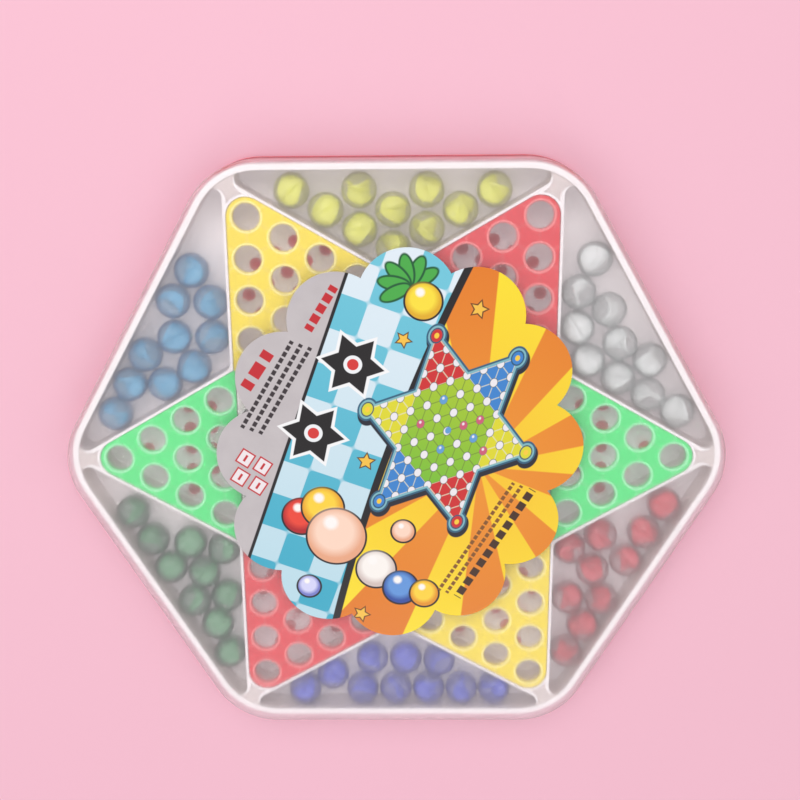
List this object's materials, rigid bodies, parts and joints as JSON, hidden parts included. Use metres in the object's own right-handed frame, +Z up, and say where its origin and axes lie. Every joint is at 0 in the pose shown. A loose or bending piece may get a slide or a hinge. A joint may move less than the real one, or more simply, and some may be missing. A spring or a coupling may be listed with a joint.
{
  "type": "chinese checkers board",
  "caption": "Flat hexagonal box with a star of coloured hole plates, compartments of glass marbles round it and a frosted lift-off lid with a label.",
  "frame": {"origin": "centre of the underside, on the plane that the foot bead stands on", "axes": "+X from corner to corner of the hexagon, +Y across the flats towards the side where the yellow marbles lie, +Z up through the lid"},
  "size_m": [0.3024, 0.2712, 0.0242],
  "materials": {
    "base_plastic": "moulded, semi-gloss",
    "tray_plastic": "milky translucent, fine moulded texture",
    "yellow_plastic": "moulded, satin",
    "red_plastic": "moulded, satin",
    "green_plastic": "moulded, satin",
    "white_plastic": "moulded, satin",
    "lid_plastic": "frosted, see-through at close range",
    "label_print": "printed film with a glossy face",
    "glass_yellow": "clear glass with a yellow ribbon inside",
    "glass_clear": "clear glass with a white ribbon inside",
    "glass_red": "clear glass with a red ribbon inside",
    "glass_blue": "clear glass with a dark blue ribbon inside",
    "glass_green": "clear glass with a dark green ribbon inside",
    "glass_sky": "clear glass with a light blue ribbon inside"
  },
  "bodies": {
    "box": {"base_pan": "base_plastic", "inner_tray": "tray_plastic", "tip_plate_right": "green_plastic", "tip_plate_upper_right": "red_plastic", "tip_plate_upper_left": "yellow_plastic", "tip_plate_left": "green_plastic", "tip_plate_lower_left": "red_plastic", "tip_plate_lower_right": "yellow_plastic", "centre_plate": "white_plastic"},
    "lid": {"lid_plate": "lid_plastic", "lid_skirt": "lid_plastic", "label": "label_print"},
    "yellow_marbles": {"marbles_yellow": "glass_yellow"},
    "clear_marbles": {"marbles_clear": "glass_clear"},
    "red_marbles": {"marbles_red": "glass_red"},
    "blue_marbles": {"marbles_blue": "glass_blue"},
    "green_marbles": {"marbles_green": "glass_green"},
    "sky_marbles": {"marbles_sky": "glass_sky"}
  },
  "joints": [
    {"name": "lid_lift", "type": "slide", "parent": "box", "child": "lid", "axis": [0, 0, 1], "range_m": [0, 0.06]},
    {"name": "yellow_marbles_play", "type": "slide", "parent": "box", "child": "yellow_marbles", "axis": [0, 0, 1], "range_m": [0, 0.0017]},
    {"name": "clear_marbles_play", "type": "slide", "parent": "box", "child": "clear_marbles", "axis": [0, 0, 1], "range_m": [0, 0.0017]},
    {"name": "red_marbles_play", "type": "slide", "parent": "box", "child": "red_marbles", "axis": [0, 0, 1], "range_m": [0, 0.0017]},
    {"name": "blue_marbles_play", "type": "slide", "parent": "box", "child": "blue_marbles", "axis": [0, 0, 1], "range_m": [0, 0.0017]},
    {"name": "green_marbles_play", "type": "slide", "parent": "box", "child": "green_marbles", "axis": [0, 0, 1], "range_m": [0, 0.0017]},
    {"name": "sky_marbles_play", "type": "slide", "parent": "box", "child": "sky_marbles", "axis": [0, 0, 1], "range_m": [0, 0.0017]}
  ]
}
